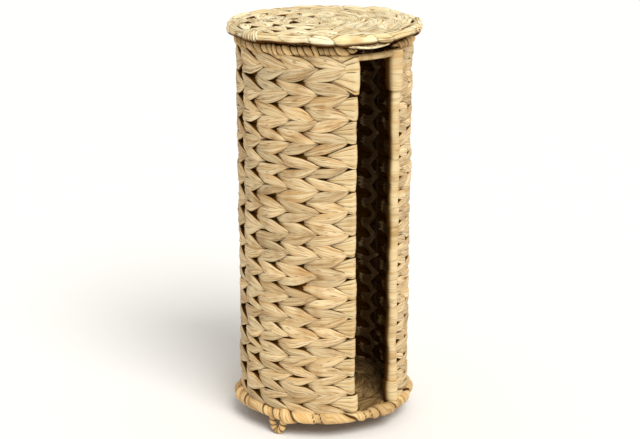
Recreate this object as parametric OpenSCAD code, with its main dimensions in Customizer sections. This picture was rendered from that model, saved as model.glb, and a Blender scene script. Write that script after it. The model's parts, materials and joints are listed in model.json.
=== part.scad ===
// Toilet roll storage holder: a tall twined basket on a wire frame, with a slit up the front and a loose lid.
// The axis of the basket is Z, the feet stand on Z = 0 and the slit faces -Y. Millimetres.
// Angles are counted from the middle of the slit, towards +X.

/* [Wall] */
// Radius from the axis to the middle of the woven wall
wall_r = 79.5; // [72:0.5:95]
// Thickness of the woven wall over its stitches
wall_t = 11; // [10:0.5:13]
// Height of the woven wall between the base roll and the border
wall_h = 348.7; // [280:0.1:420]
// Number of twined rows up the wall
wall_rows = 33; // [25:1:33]
// Number of bays between the uprights, from one side of the slit round to the other
wall_bays = 16; // [12:1:18]
// Height of the top row over the height of the bottom row
row_growth = 1.25; // [1:0.05:1.4]
// How far the edges of a stitch run ahead of its middle, as a share of a bay
stitch_lean = 0.25; // [0:0.05:0.3]

/* [Slit] */
// Clear width of the slit
slit_w = 40.5; // [30:0.5:55]
// Diameter of the binding round each edge of the slit
binding_d = 11.2; // [10:0.2:13]
// Rows that one wrap of the binding takes in
rows_per_wrap = 2; // [1:1:4]
// Depth of the waist between two wraps
wrap_dip = 0.6; // [0.3:0.1:1]

/* [Wires] */
// Diameter of the uprights
stake_d = 3.2; // [2.4:0.1:3.6]
// Diameter of the hoops inside the base roll and the lid roll
hoop_d = 3.5; // [2.5:0.1:4.5]
// Diameter of the spokes under the floor and in the lid
spoke_d = 3; // [2:0.1:3.4]
// Long spokes from the hub, with as many short ones between them
long_spokes = 8; // [6:1:10]
// First ring, from the middle, that also goes round the short spokes
short_spoke_ring = 4; // [3:1:5]

/* [Top] */
// Diameter of the hoop that crosses the slit under the border
top_hoop_d = 6; // [5:0.2:6.6]
// How far the middle of that hoop lies below the top of the wall
top_hoop_drop = 2; // [1.5:0.1:3]
// Diameter of the border roll on the wall
border_d = 11; // [9:0.5:13]
// Height of the flat that the border roll sits on
border_flat = 0.8; // [0.5:0.1:1.5]

/* [Base] */
// Diameter of the roll round the foot of the wall
base_roll_d = 11; // [10:0.5:14]
// Thickness of the woven floor
base_t = 9; // [8:0.5:10]
// Number of woven rings in the floor
base_rings = 6; // [5:1:8]

/* [Feet] */
// Clear height under the base roll
foot_h = 15.3; // [12:0.1:22]
// Width of a foot loop
foot_w = 19.5; // [15:0.5:24]
// Thickness of a foot loop
foot_d = 5.7; // [4.5:0.1:7]
// Angle from the slit to each of the two front feet
foot_angle = 70; // [50:1:85]
// Depth of the flat that a foot stands on
foot_flat = 0.5; // [0.3:0.1:0.8]

/* [Lid] */
// How far the lid stands out past the wall
lid_overhang = 9.8; // [4:0.2:16]
// Thickness of the woven lid
lid_t = 10.8; // [9:0.2:13]
// Number of woven rings in the lid
lid_rings = 7; // [5:1:7]
// Diameter of the roll round the lid
lid_roll_d = 11; // [9:0.5:13]
// Diameter of the locating hoop under the lid
locator_d = 5; // [3:0.5:7]
// Play between the locating hoop and the inside of the wall
locator_play = 1.5; // [0.8:0.1:4]
// Radius of the knot that the spokes cross in
knot_r = 8.5; // [7.5:0.5:12]

/* [Fits] */
// Gap between two woven rows or rings
row_gap = 0.3; // [0.2:0.05:0.5]
// Clearance round a wire where it runs through the weave
wire_fit = 0.25; // [0.2:0.05:0.35]
// Gap between pieces that rest on each other
seat_gap = 0.3; // [0.2:0.05:0.5]

/* [Hidden] */
$fn = 64;

// Thickness of a row as shares of the weave: at its edge by an upright, and half way between two uprights
edge_share = 0.6;
valley_share = 0.5;
valley_edge_share = 0.42;
// Stations of a row in one bay: one at an upright, one between
stations_per_bay = 2;
corners = 6;
wrap_round = 2.5;
knot_bevel = 2;
// Thickness of the weld on the spokes at the hub
weld = 1;
// How far a cutter runs past what it cuts
past = 1;

// Heights
base_hoop_z = foot_h + base_roll_d / 2;
wall_z = foot_h + base_roll_d;
wall_top = wall_z + wall_h;
top_hoop_z = wall_top - top_hoop_drop;
border_z = wall_top + border_d / 2 - border_flat;
body_top = border_z + border_d / 2;
lid_bottom = body_top + seat_gap;
lid_z = lid_bottom + max(lid_t, lid_roll_d) / 2;
stake_bottom = base_hoop_z + spoke_d / 2 + seat_gap;
stake_top = top_hoop_z - top_hoop_d / 2 - seat_gap;
locator_z = lid_z - lid_t / 2 - seat_gap - locator_d / 2;

// Radii
base_hoop_r = wall_r + (stake_d + hoop_d) / 2 + seat_gap;
lid_r = wall_r + wall_t / 2 + lid_overhang;
lid_hoop_r = lid_r - lid_roll_d / 2;
locator_r = wall_r - max(wall_t, border_d) / 2 - locator_play - locator_d / 2;
hub_r = 1.1 * long_spokes * spoke_d / (2 * PI) + weld;
hub_h = spoke_d + weld;
weave_inner_r = knot_r + seat_gap;
base_weave_r = base_hoop_r - base_roll_d / 2 - seat_gap;
lid_weave_r = lid_hoop_r - lid_roll_d / 2 - seat_gap;

// Angles
edge_angle = asin((slit_w + binding_d) / 2 / wall_r);
border_angle = asin(slit_w / 2 / wall_r);
bay_angle = (360 - 2 * edge_angle) / wall_bays;
long_angle = 360 / long_spokes;

// Bores and channels
stake_bore_d = stake_d + 2 * wire_fit;
spoke_bore_d = spoke_d + 2 * wire_fit;
hoop_bore_d = hoop_d + 2 * seat_gap;
top_channel_d = top_hoop_d + 2 * seat_gap;
spoke_slot_h = spoke_d + 2 * seat_gap;

function numbered(stem, i) = str(stem, i < 10 ? "0" : "", i);
function row_name(i) = numbered("wall_row_", i);
function ring_name(k) = numbered("lid_ring_", k);

// Height of the joint above row i: every row is a little taller than the one below it
function row_z(i) =
    let (share = i / wall_rows, growth = (row_growth - 1) / 2)
    wall_z + wall_h * (share + growth * share * share) / (1 + growth);

// Angle of upright k, counted round from the right edge of the slit
function stake_angle(k) = edge_angle + k * bay_angle;

// Radius of the joint outside ring k of a disc of rings
function ring_r(k, outer_r, rings) = weave_inner_r + (outer_r - weave_inner_r) * k / rings;

// Spokes that ring k goes round
function spokes_in(k) = k < short_spoke_ring ? long_spokes : 2 * long_spokes;

function polar(angle, r, z) = [r * sin(angle), -r * cos(angle), z];

// Corners of a row's section: [across the row, through the weave], from the outer lower corner up and round
function section(w, middle_t, edge_t) = [
    [-w / 2, edge_t / 2], [0, middle_t / 2], [w / 2, edge_t / 2],
    [w / 2, -edge_t / 2], [0, -middle_t / 2], [-w / 2, -edge_t / 2]
];

// Section at station i: thick over an upright, thin half way to the next one
function station(i, w, t) = i % stations_per_bay == 0
    ? section(w, t, edge_share * t)
    : section(w, valley_share * t, valley_edge_share * t);

// A stitch leans one way on the face of the weave and the other way on its back
function lean_at(corner, lean) = lean * sign(corner[0]) * sign(corner[1]);

// Corners of wall row i, standing up, from one edge of the slit round to the other
function wall_corners(i) =
    let (
        last = stations_per_bay * wall_bays,
        low = row_z(i - 1) + row_gap / 2,
        high = row_z(i) - row_gap / 2,
        lean = (i % 2 == 0 ? 1 : -1) * stitch_lean * bay_angle
    )
    [for (s = [0:last])
        let (at_end = s == 0 || s == last, t = at_end ? min(wall_t, binding_d) : wall_t)
        for (c = station(s, high - low, t))
            polar(stake_angle(s / stations_per_bay) + (at_end ? 0 : lean_at(c, lean)),
                wall_r + c[1], (low + high) / 2 + c[0])
    ];

// Corners of lid ring k, lying flat. The inner corners stand back, so that the flats between them clear the joint.
function lid_corners(k) =
    let (
        bays = spokes_in(k),
        step = 360 / (stations_per_bay * bays),
        inner = ring_r(k - 1, lid_weave_r, lid_rings) + row_gap / 2,
        outer = ring_r(k, lid_weave_r, lid_rings) - row_gap / 2,
        lean = (k % 2 == 0 ? 1 : -1) * stitch_lean * 360 / bays,
        inner_corner = inner / cos(step / 2 + abs(lean)),
        middle = (inner_corner + outer) / 2
    )
    [for (s = [0:stations_per_bay * bays - 1])
        for (c = station(s, outer - inner_corner, lid_t))
            polar(s * step + lean_at(c, lean), middle - c[0], lid_z + c[1])
    ];

// Triangles of a strip of sections, joined up into a ring or closed at both ends
function strip_faces(count, closed) = concat(
    [for (s = [0:count - (closed ? 1 : 2)], c = [0:corners - 1], half = [0:1])
        let (
            here = s * corners,
            next = ((s + 1) % count) * corners,
            after = (c + 1) % corners
        )
        half == 0 ? [here + c, here + after, next + after] : [here + c, next + after, next + c]
    ],
    closed ? [] : [for (c = [1:corners - 2]) [0, c + 1, c]],
    closed ? [] : [for (c = [1:corners - 2]) (count - 1) * corners * [1, 1, 1] + [0, c, c + 1]]
);

module at_angle(angle, r) {
    rotate([0, 0, angle]) translate([0, -r, 0]) children();
}

// Round hoop about the axis, also used to cut its channel
module hoop(r, d, z) {
    translate([0, 0, z]) rotate_extrude() translate([r, 0]) circle(d = d);
}

module twined_strip(points, closed) {
    polyhedron(points = points, faces = strip_faces(len(points) / corners, closed));
}

module upright(angle, d, z_low, z_high) {
    at_angle(angle, wall_r) translate([0, 0, z_low]) cylinder(d = d, h = z_high - z_low);
}

// Radial wire, or the bore for one
module radial(angle, d, z, from, to) {
    at_angle(angle, from) translate([0, 0, z]) rotate([90, 0, 0]) cylinder(d = d, h = to - from);
}

// Bores of the spokes that ring k goes round
module spoke_bores(k, z, outer_r) {
    for (s = [0:spokes_in(k) - 1])
        radial(s * 360 / spokes_in(k), spoke_bore_d, z, knot_r / 2, outer_r);
}

// Strand wrapped round a hoop, with a slot inside for the spokes that end at the hoop
module wrapped_roll(r, d, z) {
    difference() {
        hoop(r, d, z);
        hoop(r, hoop_bore_d, z);
        translate([0, 0, z - spoke_slot_h / 2]) rotate_extrude() translate([r - d, 0]) square([d, spoke_slot_h]);
    }
}

// Welded hub with its long spokes, and the short spokes that the weave holds between them
module spokes(z, reach, outer_r, rings) {
    short_from = ring_r(short_spoke_ring - 1, outer_r, rings) + row_gap;
    translate([0, 0, z]) cylinder(r = hub_r, h = hub_h, center = true);
    for (s = [0:long_spokes - 1]) {
        radial(s * long_angle, spoke_d, z, hub_r - weld, reach);
        radial((s + 0.5) * long_angle, spoke_d, z, short_from, reach);
    }
}

// Knot of strand round the hub
module knot(z, t) {
    difference() {
        translate([0, 0, z]) rotate_extrude() difference() {
            polygon([
                [0, -t / 2], [knot_r - knot_bevel, -t / 2], [knot_r, knot_bevel - t / 2],
                [knot_r, t / 2 - knot_bevel], [knot_r - knot_bevel, t / 2], [0, t / 2]
            ]);
            translate([0, -hub_h / 2 - seat_gap]) square([hub_r + seat_gap, hub_h + 2 * seat_gap]);
        }
        for (s = [0:long_spokes - 1])
            radial(s * long_angle, spoke_bore_d, z, hub_r - past, knot_r + past);
    }
}

// One row of twining: the stitches of one row lean against those of the next
module wall_row(i) {
    color(i % 2 == 0 ? "burlywood" : "tan")
    difference() {
        twined_strip(wall_corners(i), false);
        for (k = [1:wall_bays - 1])
            upright(stake_angle(k), stake_bore_d, row_z(i - 1) - past, row_z(i) + past);
        for (side = [-1, 1])
            upright(side * edge_angle, binding_d + 2 * seat_gap, row_z(i - 1) - past, row_z(i) + past);
        if (row_z(i) > top_hoop_z - top_channel_d / 2)
            open_channel();
    }
}

// Channel that the top hoop is laid into from above, before the border roll covers it
module open_channel() {
    hoop(wall_r, top_channel_d, top_hoop_z);
    translate([0, 0, top_hoop_z]) cylinder(r = wall_r + wall_t, h = top_hoop_drop + past);
}

module wall_stakes() {
    color("dimgray")
    for (k = [1:wall_bays - 1])
        upright(stake_angle(k), stake_d, stake_bottom, stake_top);
}

module left_edge_stake() {
    color("dimgray") upright(-edge_angle, stake_d, stake_bottom, stake_top);
}

module right_edge_stake() {
    color("dimgray") upright(edge_angle, stake_d, stake_bottom, stake_top);
}

// Strand wrapped round an edge upright, with a waist after every wrap
module edge_binding(side) {
    wraps = ceil(wall_rows / rows_per_wrap);
    bore = stake_bore_d / 2;
    waist = binding_d / 2 - wrap_dip;
    low = wall_z + seat_gap;
    high = wall_top - seat_gap;
    waists = [for (n = [0:wraps]) n == 0 ? low : n == wraps ? high : row_z(n * rows_per_wrap)];
    profile = [for (n = [0:wraps - 1], step = [0:2])
        step == 0 ? [waist, waists[n]]
        : step == 1 ? [binding_d / 2, waists[n] + wrap_round]
        : [binding_d / 2, waists[n + 1] - wrap_round]
    ];
    color("peru")
    difference() {
        at_angle(side * edge_angle, wall_r)
            rotate_extrude() polygon(concat([[bore, low]], profile, [[waist, high], [bore, high]]));
        hoop(wall_r, top_channel_d, top_hoop_z);
    }
}

module left_edge_binding() {
    edge_binding(-1);
}

module right_edge_binding() {
    edge_binding(1);
}

module top_hoop() {
    color("wheat") hoop(wall_r, top_hoop_d, top_hoop_z);
}

// Roll along the top of the wall, from one edge of the slit round to the other
module top_border() {
    flat_z = wall_top + row_gap / 2;
    color("burlywood")
    difference() {
        rotate([0, 0, border_angle - 90])
            rotate_extrude(angle = 360 - 2 * border_angle)
                difference() {
                    translate([wall_r, border_z]) circle(d = border_d);
                    translate([wall_r - border_d, flat_z - border_d]) square([2 * border_d, border_d]);
                }
        hoop(wall_r, top_channel_d, top_hoop_z);
    }
}

module base_hoop() {
    color("dimgray") hoop(base_hoop_r, hoop_d, base_hoop_z);
}

module base_roll() {
    color("tan")
    difference() {
        wrapped_roll(base_hoop_r, base_roll_d, base_hoop_z);
        for (k = [0:wall_bays])
            upright(stake_angle(k), stake_bore_d, base_hoop_z, wall_z + past);
    }
}

module base_spokes() {
    color("dimgray")
        spokes(base_hoop_z, base_hoop_r - hoop_d / 2 - seat_gap, base_weave_r, base_rings);
}

// Floor of woven rings round the spokes
module base_weave() {
    color("darkkhaki")
    for (k = [1:base_rings]) {
        inner = ring_r(k - 1, base_weave_r, base_rings) + row_gap / 2;
        outer = ring_r(k, base_weave_r, base_rings) - row_gap / 2;
        difference() {
            translate([0, 0, base_hoop_z])
                rotate_extrude() translate([(inner + outer) / 2, 0])
                    polygon(section(outer - inner, base_t, edge_share * base_t));
            spoke_bores(k, base_hoop_z, base_hoop_r);
        }
    }
}

module base_knot() {
    color("darkkhaki") knot(base_hoop_z, base_t);
}

// Wrapped loop that stands under the base roll
module foot(angle) {
    leg_x = (foot_w - foot_d) / 2;
    bend_z = foot_w / 2 - foot_flat;
    color("peru")
    difference() {
        at_angle(angle, base_hoop_r) {
            translate([0, 0, bend_z]) rotate([90, 0, 0]) rotate([0, 0, 180])
                rotate_extrude(angle = 180) translate([leg_x, 0]) circle(d = foot_d);
            for (side = [-1, 1])
                translate([side * leg_x, 0, bend_z]) cylinder(d = foot_d, h = base_hoop_z - bend_z);
        }
        hoop(base_hoop_r, base_roll_d + 2 * seat_gap, base_hoop_z);
        at_angle(angle, base_hoop_r) translate([0, 0, -foot_d / 2]) cube([2 * foot_w, 2 * foot_w, foot_d], center = true);
    }
}

module left_foot() {
    foot(-foot_angle);
}

module right_foot() {
    foot(foot_angle);
}

module rear_foot() {
    foot(180);
}

// One ring of twining round the spokes of the lid
module lid_ring(k) {
    color(k % 2 == 0 ? "wheat" : "bisque")
    difference() {
        twined_strip(lid_corners(k), true);
        spoke_bores(k, lid_z, lid_r);
    }
}

module lid_knot() {
    color("wheat") knot(lid_z, lid_t);
}

module lid_hoop() {
    color("dimgray") hoop(lid_hoop_r, hoop_d, lid_z);
}

module lid_spokes() {
    color("dimgray") spokes(lid_z, lid_hoop_r - hoop_d / 2 - seat_gap, lid_weave_r, lid_rings);
}

module lid_roll() {
    color("bisque") wrapped_roll(lid_hoop_r, lid_roll_d, lid_z);
}

// Hoop tied under the lid, which keeps it centred on the wall
module lid_locating_hoop() {
    color("peru") hoop(locator_r, locator_d, locator_z);
}

for (i = [1:wall_rows]) wall_row(i);
wall_stakes();
left_edge_stake();
right_edge_stake();
left_edge_binding();
right_edge_binding();
top_hoop();
top_border();
base_hoop();
base_roll();
base_spokes();
base_weave();
base_knot();
left_foot();
right_foot();
rear_foot();
for (k = [1:lid_rings]) lid_ring(k);
lid_knot();
lid_hoop();
lid_spokes();
lid_roll();
lid_locating_hoop();
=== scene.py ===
"""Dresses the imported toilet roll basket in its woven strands, and lights it as in the photograph."""

import json
import logging
import math
from collections.abc import Callable
from dataclasses import asdict, dataclass, field
from enum import Enum
from functools import partial

import bmesh
import bpy
from bpy.types import ID, Material, Mesh, Node, NodeOutputs, NodeSocket, NodeTree, Object
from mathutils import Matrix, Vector

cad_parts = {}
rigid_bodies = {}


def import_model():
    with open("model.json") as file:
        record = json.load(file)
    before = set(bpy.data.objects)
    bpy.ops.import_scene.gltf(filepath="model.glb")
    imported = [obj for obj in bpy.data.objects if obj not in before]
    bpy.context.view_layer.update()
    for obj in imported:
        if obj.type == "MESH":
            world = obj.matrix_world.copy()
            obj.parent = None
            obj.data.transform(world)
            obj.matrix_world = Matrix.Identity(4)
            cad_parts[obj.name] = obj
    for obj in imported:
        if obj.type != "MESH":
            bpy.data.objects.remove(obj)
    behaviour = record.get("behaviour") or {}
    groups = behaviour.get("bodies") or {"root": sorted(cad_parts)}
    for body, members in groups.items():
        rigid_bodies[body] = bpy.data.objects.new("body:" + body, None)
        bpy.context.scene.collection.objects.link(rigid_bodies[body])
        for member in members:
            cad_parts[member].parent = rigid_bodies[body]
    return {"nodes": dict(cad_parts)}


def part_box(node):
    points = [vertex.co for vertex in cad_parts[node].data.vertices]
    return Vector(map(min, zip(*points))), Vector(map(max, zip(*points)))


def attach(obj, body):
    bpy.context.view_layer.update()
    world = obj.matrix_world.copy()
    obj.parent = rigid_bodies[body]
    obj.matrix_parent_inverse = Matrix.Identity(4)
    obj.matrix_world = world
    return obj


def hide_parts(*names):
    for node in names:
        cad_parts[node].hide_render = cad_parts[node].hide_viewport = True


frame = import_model()

log = logging.getLogger("basket")

MM = 0.001
FULL_TURN = 2 * math.pi
# Sizes of a strand that closes into a ring
RING = {"closed": 1.0, "sweep": FULL_TURN}
# Bulge and depth of a twined strand, as shares of half the thickness of the weave
BULGE_SHARE, DEPTH_SHARE = 0.56, 0.44
# The plain strand in the middle of a row, without seams so that painted shade covers it evenly, and half of its width
# as a share of the row's
CORE = {"turns": 1.0, "relief": 0.0, "seam": 0.0, "swell": 0.0, "wander": 0.0, "sides": 9}
CORE_SHARE = 0.56

VECTOR = "ShaderNodeVectorMath"
SMOOTH = {"interpolation_type": "SMOOTHSTEP"}

Feed = Node | NodeSocket | float | tuple | str | None
Adder = Callable[..., Node]


class Op(Enum):
    """Operations of a math node, which add_node takes in place of the node's type."""

    ADD = "ADD"
    SUB = "SUBTRACT"
    MUL = "MULTIPLY"
    DIV = "DIVIDE"
    MUL_ADD = "MULTIPLY_ADD"
    POW = "POWER"
    MIN = "MINIMUM"
    MAX = "MAXIMUM"
    LESS = "LESS_THAN"
    GREATER = "GREATER_THAN"
    ABS = "ABSOLUTE"
    SIGN = "SIGN"
    FLOOR = "FLOOR"
    FRACT = "FRACT"
    MOD = "FLOORED_MODULO"
    PINGPONG = "PINGPONG"
    SIN = "SINE"
    COS = "COSINE"


class Mark(Enum):
    """Values that a strand's mesh holds for its finish."""

    ALONG = "strand_along"
    ACROSS = "strand_across"
    TONE = "strand_tone"
    # How much painted shade the point gets: in hollows of the weave, along edges and seams, and on inner sides
    HOLLOW = "strand_hollow"


def linear(colour: str) -> tuple[float, float, float, float]:
    """Turns an sRGB hex colour into the linear colour that a shader takes.

    Args:
        colour: six hex digits with a leading #.

    Returns:
        Red, green, blue and an alpha of 1.
    """
    parts = [int(colour[i : i + 2], 16) / 255 for i in (1, 3, 5)]
    red, green, blue = (p / 12.92 if p <= 0.04045 else ((p + 0.055) / 1.055) ** 2.4 for p in parts)
    return red, green, blue, 1.0


def add_node(tree: NodeTree, kind: str | Op, *feeds: Feed, named: dict[str, Feed] | None = None,
             **settings: object) -> Node:
    """Adds a node with its settings, and feeds its inputs.

    Args:
        tree: the tree that gets the node.
        kind: Blender's name for the node's type, or the operation of a math node.
        feeds: values, nodes or sockets for the inputs in their order, with None to leave one as it is.
        named: more of them by the name of the input.
        settings: the node's own properties, where curve gives the points of a float curve.

    Returns:
        The new node.
    """
    if isinstance(kind, Op):
        kind, settings["operation"] = "ShaderNodeMath", kind.value
    node = tree.nodes.new(kind)
    for key, value in settings.items():
        if key == "curve":
            points = node.mapping.curves[0].points
            points[0].location, points[1].location = value[0], value[-1]
            for spot in value[1:-1]:
                points.new(*spot)
            node.mapping.update()
        else:
            setattr(node, key, value)
    inputs = [socket for socket in node.inputs if socket.enabled]
    pairs = list(zip(inputs, feeds))
    pairs += [(next(s for s in inputs if s.name == name), feed) for name, feed in (named or {}).items()]
    for socket, feed in pairs:
        if isinstance(feed, Node):
            feed = next(out for out in feed.outputs if out.enabled)
        if isinstance(feed, NodeSocket):
            tree.links.new(feed, socket)
        elif feed is not None:
            socket.default_value = feed
    return node


def new_object(name: str, data: ID) -> Object:
    """Puts an object into the scene.

    Args:
        name: its name.
        data: its mesh, camera or lamp.

    Returns:
        The object.
    """
    made = bpy.data.objects.new(name, data)
    bpy.context.scene.collection.objects.link(made)
    return made


# ---- Finishes ----


@dataclass(frozen=True)
class Finish:
    """What all finishes share. Each is a subclass that adds its own shader."""

    name: str

    def build(self) -> Material:
        """Builds the finish.

        Returns:
            The material.
        """
        material = bpy.data.materials.new(self.name)
        material.use_nodes = True
        material.node_tree.nodes.clear()
        add = partial(add_node, material.node_tree)
        add("ShaderNodeOutputMaterial", self.shader(add))
        return material

    def shader(self, add: Adder) -> Node:
        """Adds the finish's pattern and its shader.

        Args:
            add: adds a node to the material.

        Returns:
            The shader's node.
        """
        raise NotImplementedError


@dataclass(frozen=True)
class StrandFinish(Finish):
    """Dried water hyacinth stalk, flattened by hand: matt straw with fine lengthwise pleats, and painted shade in its
    crevices.
    """

    light: str = "#ecd5a7"
    body: str = "#d1aa72"
    ochre: str = "#a8783c"
    crease: str = "#7f5522"
    crevice: str = "#59380a"
    roughness: float = 0.56
    # Stripes and fibres across half of a strand, which is 5 to 8 mm wide. Real fibres are too fine to show from
    # here, so they are drawn several times as wide
    streaks: float = 4.0
    fibres: float = 22.0
    creases: float = 0.65
    patch_mm: float = 22.0
    patchiness: float = 0.5
    shade_from: float = 0.42
    shade_to: float = 0.86
    dullest: float = 0.77
    brightest: float = 1.12
    bump_mm: float = 0.5
    # Shift of the pattern from one strand to the next, so that no two look the same
    tone_step: float = 61.0
    gloss: float = 0.3
    ior: float = 1.48

    def shader(self, add: Adder) -> Node:
        """Adds stripes, fibres, pleat lines, aged patches and painted shade, by the marks that the strand's mesh
        holds.

        Args:
            add: adds a node to the material.

        Returns:
            The shader's node.
        """
        mark = {m: add("ShaderNodeAttribute", attribute_name=m.value).outputs["Fac"] for m in Mark}
        shift = add(Op.MUL, mark[Mark.TONE], self.tone_step)
        wide, fine = (add("ShaderNodeCombineXYZ", add(Op.MUL_ADD, mark[Mark.ACROSS], count, shift),
                          mark[Mark.ALONG], shift) for count in (self.streaks, self.fibres))
        streak = add("ShaderNodeTexNoise", named={"Vector": wide, "Scale": 0.6, "Detail": 2.0})
        fibre = add("ShaderNodeTexNoise", named={"Vector": fine, "Scale": 0.7, "Detail": 3.0})
        grain = add("ShaderNodeMix", 0.35, streak, fibre, data_type="FLOAT")
        level = add("ShaderNodeMapRange", grain, 0.36, 0.60, 0.0, 1.0, **SMOOTH)
        straw = add("ShaderNodeMix", level, linear(self.body), linear(self.light), data_type="RGBA")

        # Pleats are thin darker lines, drawn where a slow noise passes its middle
        pleat = add("ShaderNodeTexNoise", named={"Vector": add(VECTOR, wide, (7.3, 0.0, 1.7), operation="ADD"),
                                                 "Scale": 0.75, "Detail": 1.0})
        near = add(Op.ABS, add(Op.SUB, pleat, 0.5))
        line = add("ShaderNodeMapRange", near, 0.0, 0.038, self.creases, 0.0, **SMOOTH)
        pleated = add("ShaderNodeMix", line, straw, linear(self.crease), data_type="RGBA")

        place = add("ShaderNodeTexCoord").outputs["Object"]
        patch = add("ShaderNodeTexNoise", named={"Vector": place, "Scale": 1 / (self.patch_mm * MM), "Detail": 3.0})
        aged = add("ShaderNodeMapRange", patch, 0.48, 0.74, 0.0, self.patchiness, **SMOOTH)
        tinted = add("ShaderNodeMix", aged, pleated, linear(self.ochre), data_type="RGBA")

        bright = add("ShaderNodeMapRange", mark[Mark.TONE], 0.0, 1.0, self.dullest, self.brightest)
        toned = add("ShaderNodeHueSaturation", named={"Value": bright, "Color": tinted})
        # Painted shade: the colour turns to the shade colour as the shade mark grows, and the shine fades with it
        depth = add("ShaderNodeMapRange", mark[Mark.HOLLOW], self.shade_from, self.shade_to, 0.0, 1.0, **SMOOTH)
        colour = add("ShaderNodeMix", depth, toned, linear(self.crevice), data_type="RGBA")

        rough = add("ShaderNodeMapRange", grain, 0.3, 0.7, self.roughness + 0.1, self.roughness - 0.08)
        gloss = add(Op.MUL_ADD, depth, 0.02 - self.gloss, self.gloss)
        bump = add("ShaderNodeBump", named={"Strength": 0.8, "Distance": self.bump_mm * MM,
                                            "Height": add(Op.SUB, grain, line)})
        return add("ShaderNodeBsdfPrincipled", named={"Base Color": colour, "Roughness": rough, "IOR": self.ior,
                                                      "Specular IOR Level": gloss, "Normal": bump})


@dataclass(frozen=True)
class WireFinish(Finish):
    """Painted steel wire: a smooth dark brown coat with a soft shine, a little worn where the strands rub it."""

    name: str = "painted_steel_wire"
    coat: str = "#2f2318"
    worn: str = "#4a3826"
    roughness: float = 0.42
    # Worn patches about 11 mm across
    patches_per_metre: float = 90.0

    def shader(self, add: Adder) -> Node:
        """Adds worn patches, by object coordinates.

        Args:
            add: adds a node to the material.

        Returns:
            The shader's node.
        """
        place = add("ShaderNodeTexCoord").outputs["Object"]
        mottle = add("ShaderNodeTexNoise", named={"Vector": place, "Scale": self.patches_per_metre, "Detail": 4.0})
        share = add("ShaderNodeMapRange", mottle, 0.4, 0.7, 0.0, 1.0)
        colour = add("ShaderNodeMix", share, linear(self.coat), linear(self.worn), data_type="RGBA")
        rough = add("ShaderNodeMapRange", mottle, 0.3, 0.7, self.roughness - 0.06, self.roughness + 0.12)
        bump = add("ShaderNodeBump", named={"Strength": 0.4, "Distance": 0.1 * MM, "Height": mottle})
        return add("ShaderNodeBsdfPrincipled", named={"Base Color": colour, "Roughness": rough, "Normal": bump})


@dataclass(frozen=True)
class FloorFinish(Finish):
    """Matt white studio board: even and bright, with a tooth too fine to see from here."""

    name: str = "studio_board"
    colour: str = "#fbfaf8"
    roughness: float = 0.9
    # Tooth about 2.5 mm apart, coarser than the real one
    tooth_per_metre: float = 400.0

    def shader(self, add: Adder) -> Node:
        """Adds the board's tooth, by object coordinates.

        Args:
            add: adds a node to the material.

        Returns:
            The shader's node.
        """
        place = add("ShaderNodeTexCoord").outputs["Object"]
        tooth = add("ShaderNodeTexNoise", named={"Vector": place, "Scale": self.tooth_per_metre})
        bump = add("ShaderNodeBump", named={"Strength": 0.05, "Distance": 0.1 * MM, "Height": tooth})
        return add("ShaderNodeBsdfPrincipled", named={"Base Color": linear(self.colour),
                                                      "Roughness": self.roughness, "Normal": bump})


# ---- Geometry Nodes trees ----


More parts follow.
